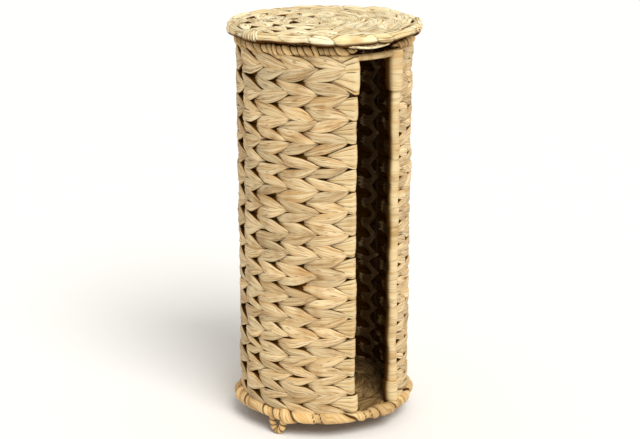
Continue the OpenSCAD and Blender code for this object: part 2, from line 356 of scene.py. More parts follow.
class StrandTree:
    """A Geometry Nodes tree that bends strips of grid into strands. Each kind of strand is a subclass."""

    NAME = "strand"
    SIZES: dict[str, float | int] = {}
    COMMON = {"Wander": 0.0, "Seed": 0, "Steps": 8, "Sides": 8, "Material": None}
    # Distance over which the random shift of the strands changes
    WANDER_STEP = 30.0 * MM
    # Points closer than this are the two sides of a seam
    MERGE = 0.004 * MM

    def __init__(self) -> None:
        """Makes the tree, its named inputs and its nodes."""
        self.tree = bpy.data.node_groups.new(self.NAME, "GeometryNodeTree")
        self.add: Adder = partial(add_node, self.tree)
        self.ids: dict[str, str] = {}
        for name, value in {**self.COMMON, **self.SIZES}.items():
            kind = "Material" if value is None else "Int" if isinstance(value, int) else "Float"
            socket = self.tree.interface.new_socket(name=name, in_out="INPUT", socket_type="NodeSocket" + kind)
            self.ids[name] = socket.identifier
            if value is not None:
                socket.default_value = value
        self.tree.interface.new_socket(name="Geometry", in_out="OUTPUT", socket_type="NodeSocketGeometry")
        self.size = self.add("NodeGroupInput").outputs
        self.build()

    def build(self) -> None:
        """Adds the nodes that shape this kind of strand."""
        raise NotImplementedError

    def strips(self, copies: Feed) -> tuple[Node, Feed, Feed, Feed]:
        """Adds copies of a unit grid, one for each strand.

        Args:
            copies: how many.

        Returns:
            The strips, and fields for the share along a strip, the share around it and the strip's number.
        """
        points = self.add("GeometryNodePoints", copies)
        grid = self.add("GeometryNodeMeshGrid", 1.0, 1.0, self.size["Steps"], self.size["Sides"])
        strips = self.add("GeometryNodeInstanceOnPoints", points, named={"Instance": grid})
        numbered = self.add("GeometryNodeStoreNamedAttribute", strips, None, "strand_number",
                            self.add("GeometryNodeInputIndex"), data_type="INT", domain="INSTANCE")
        real = self.add("GeometryNodeRealizeInstances", numbered)
        place = self.add(VECTOR, self.add("GeometryNodeInputPosition"), (0.5, 0.5, 0.0), operation="ADD")
        share = self.add("ShaderNodeSeparateXYZ", place).outputs
        number = self.add("GeometryNodeInputNamedAttribute", "strand_number", data_type="INT")
        return real, share["X"], share["Y"], number

    def own(self, place: Feed) -> Node:
        """Adds a shift to a place, so that each seed reads its own part of a noise."""
        shift = self.add("ShaderNodeCombineXYZ", 0.0, 0.0, self.add(Op.MUL, self.size["Seed"], 0.37))
        return self.add(VECTOR, place, shift, operation="ADD")

    def chance(self, number: Feed, extra: int = 0) -> NodeOutputs:
        """Adds three random values between -1 and 1 for a number.

        Args:
            number: the number that keeps its values.
            extra: added to the seed.

        Returns:
            The values, as X, Y and Z.
        """
        seed = self.add(Op.ADD, self.size["Seed"], float(extra))
        value = self.add("FunctionNodeRandomValue", (-1.0, -1.0, -1.0), (1.0, 1.0, 1.0), number, seed,
                         data_type="FLOAT_VECTOR")
        return self.add("ShaderNodeSeparateXYZ", value).outputs

    def inside(self, place: Feed, length: Feed, closed: Feed = 0.0) -> Node:
        """Adds the distance from the nearer end of a strand.

        Args:
            place: distance along the strand.
            length: its length in the same unit.
            closed: 1 on a ring, which has no ends.

        Returns:
            The distance's node.
        """
        left = self.add(Op.MIN, self.add(Op.SUB, length, place), place)
        return self.add(Op.ADD, left, closed)

    def rounded(self, inside: Feed, reach: Feed) -> Node:
        """Adds a share that grows from 0 at an end to 1 at a distance from it, in a round curve.

        Args:
            inside: distance from the end.
            reach: the distance where the share is 1.

        Returns:
            The share's node.
        """
        return self.add(Op.POW, self.add("ShaderNodeMapRange", inside, 0.0, reach, 0.0, 1.0), 0.5)

    def flattened(self, face: Feed, power: float) -> Node:
        """Adds the height of a round section pressed flat, from its sine and a power under 1."""
        return self.add(Op.MUL, self.add(Op.SIGN, face), self.add(Op.POW, self.add(Op.ABS, face), power))

    def seamed(self, phase: Feed, sharp: Feed) -> tuple[Node, Node]:
        """Adds the section of a wrapped strand.

        Args:
            phase: turns of the strand up to here.
            sharp: how narrow the seams are.

        Returns:
            The crown, 1 in the middle of a turn, and the seam, 1 between two turns.
        """
        crown = self.add(Op.MUL, self.add(Op.PINGPONG, phase, 0.5), 2.0)
        return crown, self.add(Op.POW, self.add(Op.SUB, 1.0, crown), sharp)

    def hairpin(self, u: Feed, first: Feed, last: Feed, radius: Feed) -> tuple[Node, ...]:
        """Adds a path that runs straight, turns half round and runs straight back.

        Args:
            u: share of the path.
            first: length of the straight before the bend.
            last: length of the straight after it.
            radius: radius of the bend.

        Returns:
            The angle turned so far, its sine, its cosine, and the distance from the bend.
        """
        add = self.add
        arc = add(Op.MUL, radius, math.pi)
        gone = add(Op.SUB, add(Op.MUL, u, add(Op.ADD, add(Op.ADD, first, last), arc)), first)
        bend = add("ShaderNodeClamp", add(Op.DIV, gone, radius), 0.0, math.pi)
        before = add(Op.MAX, add(Op.MUL, gone, -1.0), 0.0)
        after = add(Op.MAX, add(Op.SUB, gone, arc), 0.0)
        return bend, add(Op.SIN, bend), add(Op.COS, bend), add(Op.ADD, before, after)

    def at_angle(self, angle: Feed, radius: Feed, height: Feed) -> Node:
        """Adds the point at an angle about the axis, counted from the slit towards +X.

        Args:
            angle: the angle.
            radius: its distance from the axis.
            height: its height.

        Returns:
            The point's node.
        """
        x = self.add(Op.MUL, radius, self.add(Op.SIN, angle))
        y = self.add(Op.MUL, radius, self.add(Op.COS, angle))
        return self.add("ShaderNodeCombineXYZ", x, self.add(Op.MUL, y, -1.0), height)

    def wander(self, place: Feed) -> Node:
        """Adds a smooth random shift, the same for all strands that pass a place.

        Args:
            place: the place.

        Returns:
            The shifted place.
        """
        noise = self.add("ShaderNodeTexNoise", named={"Vector": place, "Scale": 1 / self.WANDER_STEP, "Detail": 1.5})
        shift = self.add(VECTOR, noise.outputs["Color"], (0.5, 0.5, 0.5), operation="SUBTRACT")
        amount = self.add(Op.MUL, self.size["Wander"], 2.0)
        return self.add(VECTOR, place, self.add(VECTOR, shift, named={"Scale": amount}, operation="SCALE"),
                        operation="ADD")

    def close(self, strips: Feed, place: Feed, along: Feed, across: Feed, hollow: Feed, tone: Feed) -> None:
        """Stores the marks, moves the strips to their place, closes their seams and ends the tree.

        Args:
            strips: the strips of grid.
            place: where each of their points goes, before the random shift.
            along: share along the strand, for the pattern.
            across: share across the strand, for the pattern.
            hollow: how deep in shade the point lies.
            tone: the strand's own tone, from -1 to 1.
        """
        mesh = strips
        marks = {Mark.ALONG: along, Mark.ACROSS: across, Mark.HOLLOW: hollow,
                 Mark.TONE: self.add(Op.MUL_ADD, tone, 0.5, 0.5)}
        for mark, value in marks.items():
            mesh = self.add("GeometryNodeStoreNamedAttribute", mesh, None, mark.value, value, data_type="FLOAT")
        mesh = self.add("GeometryNodeSetPosition", mesh, None, self.wander(place))
        mesh = self.add("GeometryNodeMergeByDistance", mesh, None, self.MERGE)
        mesh = self.add("GeometryNodeSetShadeSmooth", mesh)
        mesh = self.add("GeometryNodeRealizeInstances", mesh)
        mesh = self.add("GeometryNodeSetMaterial", mesh, None, self.size["Material"])
        self.add("NodeGroupOutput", mesh)

    def make(self, material: Material, seed: int, **sizes: float | int) -> Mesh:
        """Runs the tree once.

        Args:
            material: the finish of the strands.
            seed: seed of everything random in them.
            sizes: values for the tree's inputs, by their names in small letters with underscores.

        Returns:
            A plain mesh, with its faces pointing outwards.
        """
        holder = new_object(self.NAME, bpy.data.meshes.new(self.NAME))
        modifier = holder.modifiers.new(self.NAME, "NODES")
        modifier.node_group = self.tree
        given = {key.replace("_", " ").title(): value for key, value in sizes.items()}
        for name, value in {**given, "Seed": seed, "Material": material}.items():
            modifier[self.ids[name]] = value
        graph = bpy.context.evaluated_depsgraph_get()
        mesh = bpy.data.meshes.new_from_object(holder.evaluated_get(graph), preserve_all_data_layers=True,
                                               depsgraph=graph)
        bpy.data.objects.remove(holder)
        solid = bmesh.new()
        solid.from_mesh(mesh)
        if solid.calc_volume(signed=True) < 0:
            bmesh.ops.reverse_faces(solid, faces=solid.faces)
            solid.to_mesh(mesh)
        solid.free()
        return mesh


class ArcTree(StrandTree):
    """A tree whose strands follow an arc about the axis."""

    COMMON = {**StrandTree.COMMON, "Radius": 0.08, "Height": 0.1, "Start": 0.0, "Sweep": FULL_TURN, "Closed": 0.0}

    def around(self, u: Feed, outwards: Feed = 0.0, upwards: Feed = 0.0) -> Node:
        """Adds the place of a point on the arc.

        Args:
            u: share of the arc.
            outwards: distance outside the arc's radius.
            upwards: distance above the arc's height.

        Returns:
            The place's node.
        """
        size, add = self.size, self.add
        angle = add(Op.MUL_ADD, u, size["Sweep"], size["Start"])
        return self.at_angle(angle, add(Op.ADD, size["Radius"], outwards), add(Op.ADD, size["Height"], upwards))


class TwinedTree(ArcTree):
    """Two strands twisted round each other and round the uprights, half a turn in each bay.

    The profiles give one strand over two bays, from behind one upright (0) over the front of the next (0.5) to
    behind the one after it (1). In front it is a broad leaf that comes out from under the leaf before it and
    ends in a point over the leaf after it.
    """

    NAME = "twined_strands"
    # Inner Shade, Dark Below and Outline set painted shade on the inward side, where the strand lies low, and along
    # its edges, where Outline is the power that narrows it
    SIZES = {"Width": 0.01, "Bays": 16, "Lean": 1.0, "Flat": 0.0, "Bulge": 0.0031, "Depth": 0.0024, "Leaf": 1.12,
             "Lag": 0.15, "Loose": 0.46, "Inner Shade": 0.0, "Dark Below": 0.34, "Outline": 5.0, "Wander": 0.0005}
    # Height of the middle line, in shares of the row's height with 0.5 for its middle
    CLIMB = ((0.0, 0.50), (0.16, 0.77), (0.30, 0.67), (0.42, 0.56), (0.55, 0.48), (0.70, 0.29), (0.80, 0.15),
             (0.87, 0.06), (0.93, 0.16), (1.0, 0.50))
    # Half of the width, in shares of the row's height
    SPREAD = ((0.0, 0.44), (0.10, 0.34), (0.175, 0.30), (0.30, 0.42), (0.42, 0.50), (0.55, 0.51), (0.70, 0.39),
              (0.80, 0.25), (0.87, 0.11), (0.92, 0.28), (1.0, 0.44))
    # Distance from the wall's middle, from 0 on the inside to 1 on the outside
    RISE = ((0.0, 0.0), (0.125, 0.25), (0.25, 0.62), (0.35, 0.80), (0.45, 0.95), (0.55, 1.0), (0.70, 0.99),
            (0.80, 0.92), (0.86, 0.78), (0.90, 0.40), (0.94, 0.10), (1.0, 0.0))
    # Changes of the stitches' spacing per metre, and share of a period by which a leaf's own look starts early
    DRIFTS_PER_METRE, EARLY = 32.0, 0.075
    # Numbers that separate the stitches of one strand from those of the other
    STRAND_STEP = 64.0
    # Lengths in bays over which an open row closes and lies low, and how low it lies
    CLOSING, LOW_REACH, LOW = 0.12, 0.45, 0.65
    # How much leaves differ in width, lift, shift and slope, and how much steeper than their profile they lie
    WIDTH_CHANGE, LIFT_CHANGE, SHIFT, SLOPE_CHANGE, SLOPE = 0.24, 0.10, 0.13, 0.5, 1.07
    # Powers that make narrow leaves thinner and all leaves flat, and angle and depth of their folds
    THINNING, FLATNESS, FOLDS, FOLD_CHANGE, FOLD_DEPTH = 0.45, 0.55, 8.5, 3.0, 0.12

    def build(self) -> None:
        """Turns the strips into two twisted strands with a broad leaf over each upright."""
        size, add = self.size, self.add
        strips, u, v, strand = self.strips(2)
        even = add(Op.MUL, u, size["Bays"])
        noise = add("ShaderNodeTexNoise", named={"Vector": self.own(self.around(u)), "Scale": self.DRIFTS_PER_METRE,
                                                 "Detail": 1.0})
        drift = add("ShaderNodeSeparateXYZ", add(VECTOR, noise.outputs["Color"], (0.5, 0.5, 0.5),
                                                 operation="SUBTRACT")).outputs
        bays = add(Op.MUL_ADD, drift["X"], size["Loose"], add(Op.SUB, even, size["Lag"]))
        periods = add(Op.MUL, add(Op.ADD, add(Op.ADD, bays, strand), 1.0), 0.5)
        phase = add(Op.FRACT, periods)
        along = add(Op.MUL_ADD, phase, 2.0, -1.0)
        whole = add(Op.FLOOR, add(Op.ADD, periods, self.EARLY))
        stitch = add(Op.MUL_ADD, strand, self.STRAND_STEP, add(Op.MOD, whole, add(Op.MUL, size["Bays"], 0.5)))
        shape, tone = self.chance(stitch), self.chance(stitch, 1)

        climb = add(Op.SUB, add("ShaderNodeFloatCurve", 1.0, phase, curve=self.CLIMB), 0.5)
        spread = add("ShaderNodeFloatCurve", 1.0, phase, curve=self.SPREAD)
        rise = add(Op.MUL_ADD, add("ShaderNodeFloatCurve", 1.0, phase, curve=self.RISE), 2.0, -1.0)
        front = add(Op.MAX, rise, 0.0)

        # Open rows close at both ends, and a leaf on an edge upright lies low there, under the wrap
        inside = self.inside(even, size["Bays"], size["Closed"])
        upright = add(Op.SUB, bays, along)
        last = add(Op.ADD, add(Op.LESS, upright, 0.5), add(Op.GREATER, upright, add(Op.SUB, size["Bays"], 0.5)))
        low = add("ShaderNodeMapRange", inside, 0.0, self.LOW_REACH, self.LOW, 0.0)
        ducked = add(Op.SUB, 1.0, add(Op.MUL, add(Op.MIN, last, 1.0), low))
        taper = add(Op.MUL, self.rounded(inside, self.CLOSING), ducked)

        varied = add(Op.MUL_ADD, add(Op.MUL, shape["X"], front), self.WIDTH_CHANGE, 1.0)
        half_width = add(Op.MUL, add(Op.MUL, spread, varied), add(Op.MUL, size["Leaf"], size["Width"]))
        half_depth = add(Op.MUL, add(Op.POW, add(Op.MUL, spread, 2.0), self.THINNING), size["Depth"])
        round_v = add(Op.MUL, v, -FULL_TURN)
        side = add(Op.COS, round_v)
        flat_face = self.flattened(add(Op.SIN, round_v), self.FLATNESS)
        fold = add(Op.COS, add(Op.MUL_ADD, side, self.FOLDS, add(Op.MUL, shape["Y"], self.FOLD_CHANGE)))
        creased = add(Op.MUL, add(Op.MUL_ADD, fold, self.FOLD_DEPTH, 1.0 - self.FOLD_DEPTH / 2), flat_face)
        across = add(Op.MUL, add(Op.MUL, side, half_width), taper)
        through = add(Op.MUL, add(Op.MUL, creased, half_depth), taper)

        lift = add(Op.MUL_ADD, add(Op.MUL, shape["Y"], front), self.LIFT_CHANGE, 1.0)
        crest = add(Op.MUL, add(Op.MUL, add(Op.MUL, rise, lift), size["Bulge"]), taper)
        out = add(Op.ADD, crest, through)
        steep = add(Op.MUL, add(Op.MUL_ADD, drift["Y"], self.SLOPE_CHANGE, self.SLOPE), size["Lean"])
        sway = add(Op.MUL, add(Op.MUL, shape["Z"], front), self.SHIFT)
        up = add(Op.MUL_ADD, add(Op.MUL_ADD, climb, steep, sway), size["Width"], across)

        # Painted shade where the strand sinks towards the wall's middle, along its edges, and on its inward side
        full = add(Op.ADD, size["Bulge"], size["Depth"])
        height = add(Op.DIV, add(Op.ABS, out), full)
        outline = add(Op.POW, add(Op.ABS, side), size["Outline"])
        inwards = add("ShaderNodeMapRange", add(Op.DIV, out, full), 0.0, -0.3, 0.0, 1.0)
        sunk = add(Op.MAX, add("ShaderNodeMapRange", height, size["Dark Below"], 0.0, 0.0, 1.0), outline)
        hollow = add(Op.MAX, sunk, add(Op.MUL, inwards, size["Inner Shade"]))

        # A wall row stands up and faces outwards, a flat ring lies down and faces up
        outwards = add("ShaderNodeMix", size["Flat"], out, add(Op.MUL, up, -1.0), data_type="FLOAT")
        upwards = add("ShaderNodeMix", size["Flat"], up, out, data_type="FLOAT")
        self.close(strips, self.around(u, outwards, upwards), along, side, hollow, tone["X"])


class RollTree(ArcTree):
    """A roll about the axis: strand wrapped round a hoop, or a bundle of strands that runs along it."""

    NAME = "wrapped_roll"
    SIZES = {"Tube": 0.005, "Turns": 48.0, "Lobes": 1.0, "Relief": 0.2, "Seam": 3.0, "Jitter": 0.2, "Swell": 0.05,
             "Uneven": 0.0, "Sag": 0.0, "Lay": 6.0, "Squash": 1.0, "Shade": 1.0, "Under Shade": 0.5,
             "Inner Shade": 0.7, "Top Shade": 0.0, "Lengthwise": 0.0, "Closing": 0.06, "Wander": 0.0004}
    SWELLS_PER_METRE = 28.0
    # Powers by which the painted shade under the roll, on top of it and inside it fades out
    UNDER_FADE, TOP_FADE, INNER_FADE = 0.5, 1.5, 1.3

    def build(self) -> None:
        """Turns a strip into a tube whose skin dips at each seam between two turns."""
        size, add = self.size, self.add
        strips, u, v, _ = self.strips(1)
        noise = add("ShaderNodeTexNoise", named={"Vector": self.own(self.around(u)), "Scale": self.SWELLS_PER_METRE,
                                                 "Detail": 1.0})
        slow = add(Op.SUB, noise, 0.5)
        helix = add(Op.MUL_ADD, u, size["Turns"], add(Op.MUL, v, size["Lobes"]))
        phase = add(Op.MUL_ADD, add(Op.MUL, slow, size["Jitter"]), 2.0, helix)
        crown, seam = self.seamed(phase, size["Seam"])
        shape = self.chance(add(Op.MOD, add(Op.FLOOR, phase), size["Turns"]))

        outside = add(Op.SIN, add(Op.MUL, v, math.pi))
        plump = add(Op.MUL, add(Op.MUL, shape["X"], size["Swell"]), add(Op.MUL, outside, crown))
        bulk = add(Op.MUL_ADD, slow, size["Uneven"], 1.0)
        skin = add(Op.SUB, add(Op.ADD, bulk, plump), add(Op.MUL, seam, size["Relief"]))
        taper = self.rounded(self.inside(u, 1.0, size["Closed"]), size["Closing"])
        radius = add(Op.MUL, add(Op.MUL, skin, size["Tube"]), taper)

        angle = add(Op.MUL_ADD, v, FULL_TURN, math.pi)
        sine = add(Op.SIN, angle)
        outwards = add(Op.MUL, radius, add(Op.COS, angle))
        raised = add(Op.MUL, add(Op.MUL, radius, sine), size["Squash"])
        hang = add(Op.MUL, add(Op.SIN, add(Op.MUL, u, math.pi)), size["Sag"])
        lay = add(Op.PINGPONG, add(Op.MUL, u, size["Lay"]), 1.0)
        round_tube = add(Op.PINGPONG, add(Op.MUL, v, 2.0), 1.0)
        over = add(Op.MUL_ADD, add(Op.FRACT, phase), 2.0, -1.0)
        along = add("ShaderNodeMix", size["Lengthwise"], add(Op.ADD, round_tube, lay), lay, data_type="FLOAT")
        across = add("ShaderNodeMix", size["Lengthwise"], over, round_tube, data_type="FLOAT")

        # Painted shade: deep in the seams between the turns, on the sides that lie against the weave and the floor,
        # and on top
        under = add(Op.POW, add(Op.MAX, add(Op.MUL, sine, -1.0), 0.0), self.UNDER_FADE)
        top = add(Op.POW, add(Op.MAX, sine, 0.0), self.TOP_FADE)
        inner = add(Op.POW, add(Op.SUB, 1.0, outside), self.INNER_FADE)
        hollow = add(Op.MUL, seam, size["Shade"])
        for shade, name in ((under, "Under Shade"), (inner, "Inner Shade"), (top, "Top Shade")):
            hollow = add(Op.MAX, hollow, add(Op.MUL, shade, size[name]))
        self.close(strips, self.around(u, outwards, add(Op.SUB, raised, hang)), along, across, hollow, shape["Y"])


class WrapTree(StrandTree):
    """Wraps round an edge upright: each starts as a point on the wall, fans out to the edge and turns inside."""

    NAME = "edge_wraps"
    SIZES = {"Radius": 0.08, "Angle": 0.33, "Side": 1.0, "Bottom": 0.026, "Rise": 0.35, "Growth": 0.125,
             "Rows": 33.0, "Rows Per Wrap": 2.0, "Wraps": 16, "Core": 0.0042, "Reach": 0.024, "Inner": 0.014,
             "Sink": 0.8, "Thick": 0.0012, "Pleats": 4.0, "Pleat Depth": 0.24, "Streak Share": 1.6, "Open": 0.83,
             "Seam Shade": 0.97, "Loose": 0.0004, "Flare": 0.0020, "Dark From": 0.46, "Wander": 0.0022}
    # Power of the fan's outline, its width at the point, and the share of the path in which its ends close
    FAN, POINT, CLOSING = 0.85, 0.16, 0.05
    # Powers that press the wraps flat, and that bring them down from the upright only near their points
    FLATNESS, DIVE = 0.4, 3.2
    # Share of the bend where the pleats are pulled tight, and what is left of them there
    PULLED_AT, PULLED = 0.35, 0.2
    # Shift of the pleats and of the height from one wrap to the next
    FOLD_CHANGE, SHIFT = 2.0, 0.05
    # How narrow the painted shade at the wraps' edges and in their pleats is, and how strong it is in the pleats
    EDGE, VALLEY, VALLEY_SHADE = 12.0, 6.0, 3.2
    # Share of the bend over which painted shade grows towards the inside, and how dark it gets
    INDOORS, INDOOR_SHADE = 0.46, 0.85

    def heights(self, wrap: Feed, top: Feed) -> tuple[Node, Node]:
        """Adds the heights of the wraps, as the rows grow up the wall.

        Args:
            wrap: the wrap's number.
            top: 1 for the last wrap, which takes up the rows that are left.

        Returns:
            The height of a wrap's middle, and half of its own height.
        """
        size, add = self.size, self.add
        ones = (1.0, 1.0, 1.0)
        share = add(Op.DIV, size["Rows Per Wrap"], size["Rows"])
        both = add("ShaderNodeCombineXYZ", wrap, add(Op.ADD, add(Op.ADD, wrap, 1.0), top), 0.0)
        rows = add(VECTOR, add(VECTOR, both, named={"Scale": share}, operation="SCALE"), ones, operation="MINIMUM")
        grown = add(VECTOR, rows, named={"Scale": size["Growth"]}, operation="SCALE")
        curve = add(VECTOR, rows, add(VECTOR, grown, ones, operation="ADD"), operation="MULTIPLY")
        rate = add(Op.DIV, size["Rise"], add(Op.ADD, size["Growth"], 1.0))
        joints = add("ShaderNodeSeparateXYZ", add(VECTOR, curve, named={"Scale": rate}, operation="SCALE")).outputs
        middle = add(Op.MUL_ADD, add(Op.ADD, joints["X"], joints["Y"]), 0.5, size["Bottom"])
        return middle, add(Op.MUL, add(Op.SUB, joints["Y"], joints["X"]), 0.5)

    def build(self) -> None:
        """Turns each strip into a pleated wrap with a round back over the edge upright."""
        size, add = self.size, self.add
        strips, u, v, wrap = self.strips(size["Wraps"])
        shape = self.chance(wrap)
        top = add(Op.GREATER, add(Op.ADD, wrap, 1.5), size["Wraps"])
        middle, half = self.heights(wrap, top)

        # Path in plan: along the outside of the wall, round the upright, back along the inside
        slack = add(Op.MUL, add(Op.ABS, shape["X"]), size["Loose"])
        flared = add(Op.MUL_ADD, add(Op.ADD, top, add(Op.LESS, wrap, 0.5)), size["Flare"], slack)
        core = add(Op.ADD, size["Core"], flared)
        bend, sine, cosine, flat = self.hairpin(u, size["Reach"], size["Inner"], core)
        turned = add(Op.DIV, bend, math.pi)
        reach = add("ShaderNodeMix", turned, size["Reach"], size["Inner"], data_type="FLOAT")
        near = add(Op.SUB, 1.0, add("ShaderNodeClamp", add(Op.DIV, flat, reach), 0.0, 1.0))

        # The fan: a point at the far end, as wide as the wrap at the edge
        half_width = add(Op.MUL, half, add(Op.MUL_ADD, add(Op.POW, near, self.FAN), size["Open"], self.POINT))
        taper = self.rounded(self.inside(u, 1.0), self.CLOSING)
        round_v = add(Op.MUL, v, FULL_TURN)
        side = add(Op.COS, round_v)
        flat_face = self.flattened(add(Op.SIN, round_v), self.FLATNESS)
        pleats = add(Op.MUL, side, add(Op.MUL, size["Pleats"], math.pi))
        fold = add(Op.COS, add(Op.MUL_ADD, shape["Y"], self.FOLD_CHANGE, pleats))
        pulled = add("ShaderNodeMapRange", turned, 0.0, self.PULLED_AT, 1.0, self.PULLED)
        pleat_depth = add(Op.MUL, size["Pleat Depth"], pulled)
        pleated = add(Op.MUL, add(Op.MUL_ADD, fold, pleat_depth, 1.0), flat_face)
        off = add(Op.MUL, add(Op.MUL, pleated, size["Thick"]), taper)

        # It slopes down from the upright and dives under the last stitches
        slope = add(Op.MUL_ADD, add(Op.POW, near, self.DIVE), size["Sink"], add(Op.SUB, 1.0, size["Sink"]))
        outwards = add(Op.MUL, add(Op.MUL_ADD, slope, core, off), cosine)
        ahead = add(Op.SUB, flat, add(Op.MUL, add(Op.ADD, core, off), sine))
        angle = add(Op.MUL_ADD, add(Op.DIV, ahead, size["Radius"]), size["Side"], size["Angle"])
        across = add(Op.MUL, add(Op.MUL, side, half_width), taper)
        shaken = add(Op.MUL_ADD, add(Op.MUL, shape["Z"], self.SHIFT), half, middle)
        place = self.at_angle(angle, add(Op.ADD, size["Radius"], outwards), add(Op.ADD, shaken, across))

        # Painted shade at the wraps' edges, in the valleys of their pleats, and on the inner side of the bend
        edge = add(Op.MUL, add(Op.POW, add(Op.ABS, side), self.EDGE), size["Seam Shade"])
        valley = add(Op.POW, add(Op.MUL_ADD, fold, -0.5, 0.5), self.VALLEY)
        crease = add(Op.MUL, add(Op.MUL, valley, pleat_depth), self.VALLEY_SHADE)
        indoors = add("ShaderNodeMapRange", add(Op.SUB, turned, size["Dark From"]), 0.0, self.INDOORS, 0.0,
                      self.INDOOR_SHADE)
        hollow = add(Op.MAX, add(Op.MAX, edge, crease), indoors)
        self.close(strips, place, u, add(Op.MUL, side, size["Streak Share"]), hollow, shape["Y"])


class LoopTree(StrandTree):
    """A wrapped loop that hangs under the base roll and stands on the floor."""

    NAME = "wrapped_loop"
    SIZES = {"Radius": 0.083, "Angle": 0.0, "Half Width": 0.007, "Bend": 0.0093, "Top": 0.0208, "Tube": 0.0028,
             "Turns": 8.0, "Relief": 0.14, "Taper In": 0.45}
    # How narrow the seams are, and the share of the path in which its ends close
    SEAM, CLOSING = 2.5, 0.05

    def build(self) -> None:
        """Turns a strip into a wrapped U that narrows towards the floor."""
        size, add = self.size, self.add
        strips, u, v, _ = self.strips(1)
        leg = add(Op.SUB, size["Top"], size["Bend"])
        _, sine, cosine, above = self.hairpin(u, leg, leg, size["Half Width"])

        phase = add(Op.MUL_ADD, u, size["Turns"], v)
        _, seam = self.seamed(phase, self.SEAM)
        skin = add(Op.SUB, 1.0, add(Op.MUL, seam, size["Relief"]))
        radius = add(Op.MUL, add(Op.MUL, skin, size["Tube"]), self.rounded(self.inside(u, 1.0), self.CLOSING))
        angle = add(Op.MUL, v, FULL_TURN)
        in_plane = add(Op.MUL, radius, add(Op.COS, angle))
        outwards = add(Op.MUL, radius, add(Op.SIN, angle))

        level = add(Op.SUB, size["Bend"], add(Op.MUL, add(Op.ADD, size["Half Width"], in_plane), sine))
        height = add(Op.MAX, add(Op.ADD, level, above), 0.0)
        low = add(Op.SUB, 1.0, add(Op.DIV, height, size["Top"]))
        squeeze = add(Op.SUB, 1.0, add(Op.MUL, low, size["Taper In"]))
        sideways = add(Op.MUL, add(Op.MUL_ADD, size["Half Width"], squeeze, in_plane), cosine)
        ahead = add(Op.MUL, add(Op.ADD, size["Radius"], outwards), -1.0)
        flat = add("ShaderNodeCombineXYZ", sideways, ahead, height)
        place = add("ShaderNodeVectorRotate", named={"Vector": flat, "Angle": size["Angle"]}, rotation_type="Z_AXIS")
        # The seams between the turns get painted shade
        self.close(strips, place, add(Op.PINGPONG, add(Op.MUL, v, 2.0), 1.0),
                   add(Op.MUL_ADD, add(Op.FRACT, phase), 2.0, -1.0), seam, self.chance(add(Op.FLOOR, phase))["X"])


@dataclass(frozen=True)
class Trees:
    """One tree for each kind of strand."""

    twined: TwinedTree = field(default_factory=TwinedTree)
    rolls: RollTree = field(default_factory=RollTree)
    wraps: WrapTree = field(default_factory=WrapTree)
    loops: LoopTree = field(default_factory=LoopTree)


# ---- Sizes from the frame ----


@dataclass(frozen=True)
class Hoop:
    """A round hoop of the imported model, lying flat about the axis."""

    radius: float
    tube: float
    height: float

    @classmethod
    def of(cls, node: str) -> "Hoop":
        """Measures a hoop.

        Args:
            node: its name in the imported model.

        Returns:
            The radius of its middle line, the radius of its section and its height.
        """
        low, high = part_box(node)
        tube = (high.z - low.z) / 2
        return cls((high.x - low.x) / 2 - tube, tube, (high.z + low.z) / 2)


class Part(Enum):
    """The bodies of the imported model."""

    BASKET = "basket"
    LID = "lid"


def piece(name: str, meshes: list[Mesh], part: Part, slot: str, *nodes: str) -> Object:
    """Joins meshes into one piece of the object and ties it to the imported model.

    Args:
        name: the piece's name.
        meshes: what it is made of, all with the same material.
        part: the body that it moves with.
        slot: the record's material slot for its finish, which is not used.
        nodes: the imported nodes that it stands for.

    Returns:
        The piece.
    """
    mesh = meshes[0]
    if len(meshes) > 1:
        joined = bmesh.new()
        for part_mesh in meshes:
            joined.from_mesh(part_mesh)
        joined.to_mesh(mesh)
        joined.free()
    mesh.name = name
    made = new_object(name, mesh)
    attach(made, part.value)
    if nodes:
        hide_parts(*nodes)
    log.info("%s: %d faces", name, len(mesh.polygons))
    return made


def named_row(stem: str, number: int) -> str:
    """Gives the name of a numbered row or ring."""
    return f"{stem}_{number:02d}"


# ---- Sub-assemblies ----


@dataclass
class Wall:
    """The twined wall's rows."""

    rows: int = 33
    bays: int = 16
    points_per_bay: int = 14
    sides: int = 20
    wander: float = 2.2 * MM
    half_core: float = 1.0 * MM

    def build(self, trees: Trees, finish: Material) -> None:
        """Builds the rows, each with a strand in its middle, all in painted shade, that shows only in the holes of
        the weave.

        Args:
            trees: the trees that make their strands.
            finish: their finish.
        """
        hoop = Hoop.of("top_hoop")
        start = self.edge_angle()
        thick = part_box("top_border")[1].x - hoop.radius
        for number in range(1, self.rows + 1):
            low, high = self.span(number)
            arc = {"radius": hoop.radius, "height": (low + high) / 2, "start": start, "sweep": FULL_TURN - 2 * start}
            # The rows get painted shade on their inner side, and the strand in their middle is all painted shade
            weave = trees.twined.make(
                finish, seed=10 * number, **arc, width=high - low, bays=self.bays, lean=1.0 if number % 2 else -1.0,
                bulge=BULGE_SHARE * thick, depth=DEPTH_SHARE * thick, inner_shade=0.72, wander=self.wander,
                steps=self.bays * self.points_per_bay + 1, sides=self.sides + 1)
            core = trees.rolls.make(
                finish, seed=number, **arc, **CORE, tube=self.half_core, closing=0.012,
                squash=CORE_SHARE * (high - low) / self.half_core, steps=97)
            piece(named_row("wall_weave", number), [weave, core], Part.BASKET, "strand",
                  named_row("wall_row", number))

    def edge_angle(self) -> float:
        """Measures the angle between the middle of the slit and its right edge upright."""
        low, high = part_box("right_edge_stake")
        return math.atan2((low.x + high.x) / 2, -(low.y + high.y) / 2)

    def span(self, number: int) -> tuple[float, float]:
        """Measures a row.

        Args:
            number: the row's number, counted from the floor.

        Returns:
            The heights of its lower and upper edge, where the last row ends at the border.
        """
        low, high = (corner.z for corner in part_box(named_row("wall_row", number)))
        return (low, high) if number < self.rows else (low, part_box("top_border")[0].z)


